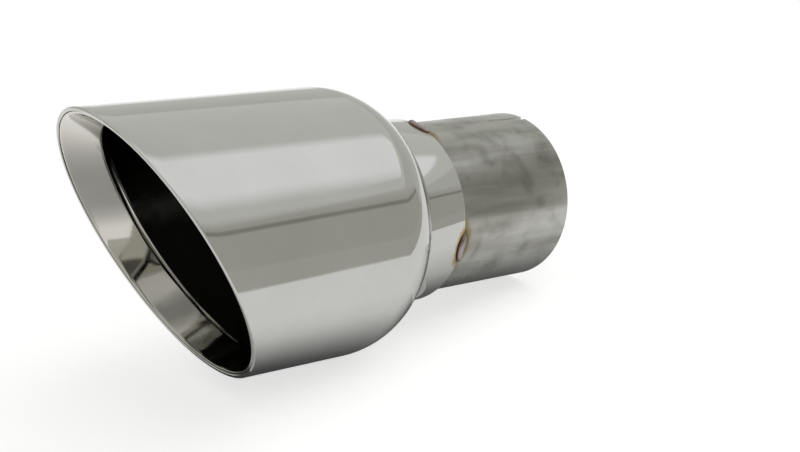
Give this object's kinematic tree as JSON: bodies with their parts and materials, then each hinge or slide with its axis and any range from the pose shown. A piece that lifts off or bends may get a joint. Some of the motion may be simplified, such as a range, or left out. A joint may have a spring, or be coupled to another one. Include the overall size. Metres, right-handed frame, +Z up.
{
  "type": "exhaust tip",
  "caption": "Polished double-wall exhaust tip with a slash-cut mouth, funnelled liner, rounded shoulder and slotted slip-on inlet.",
  "frame": {"origin": "centre of the inlet sleeve's open end, on the tip's axis", "axes": "+Z up as the tip lies on a level surface; the tip's axis lies in the XZ plane, the inlet towards +X and 9.372 degrees downwards, the mouth towards -X"},
  "size_m": [0.2112, 0.1016, 0.118],
  "materials": {
    "polished_shell": "mirror-polished stainless steel, spun and buffed",
    "polished_liner": "mirror-polished stainless steel, dark towards the throat",
    "mill_finish_tube": "drawn stainless tube, mill finish with faint marks along it",
    "weld_bead": "unbrushed weld with straw and brown heat tint"
  },
  "bodies": {
    "root": {"outer_shell": "polished_shell", "mouth_liner": "polished_liner", "inlet_sleeve": "mill_finish_tube", "tack_welds": "weld_bead"}
  },
  "joints": []
}
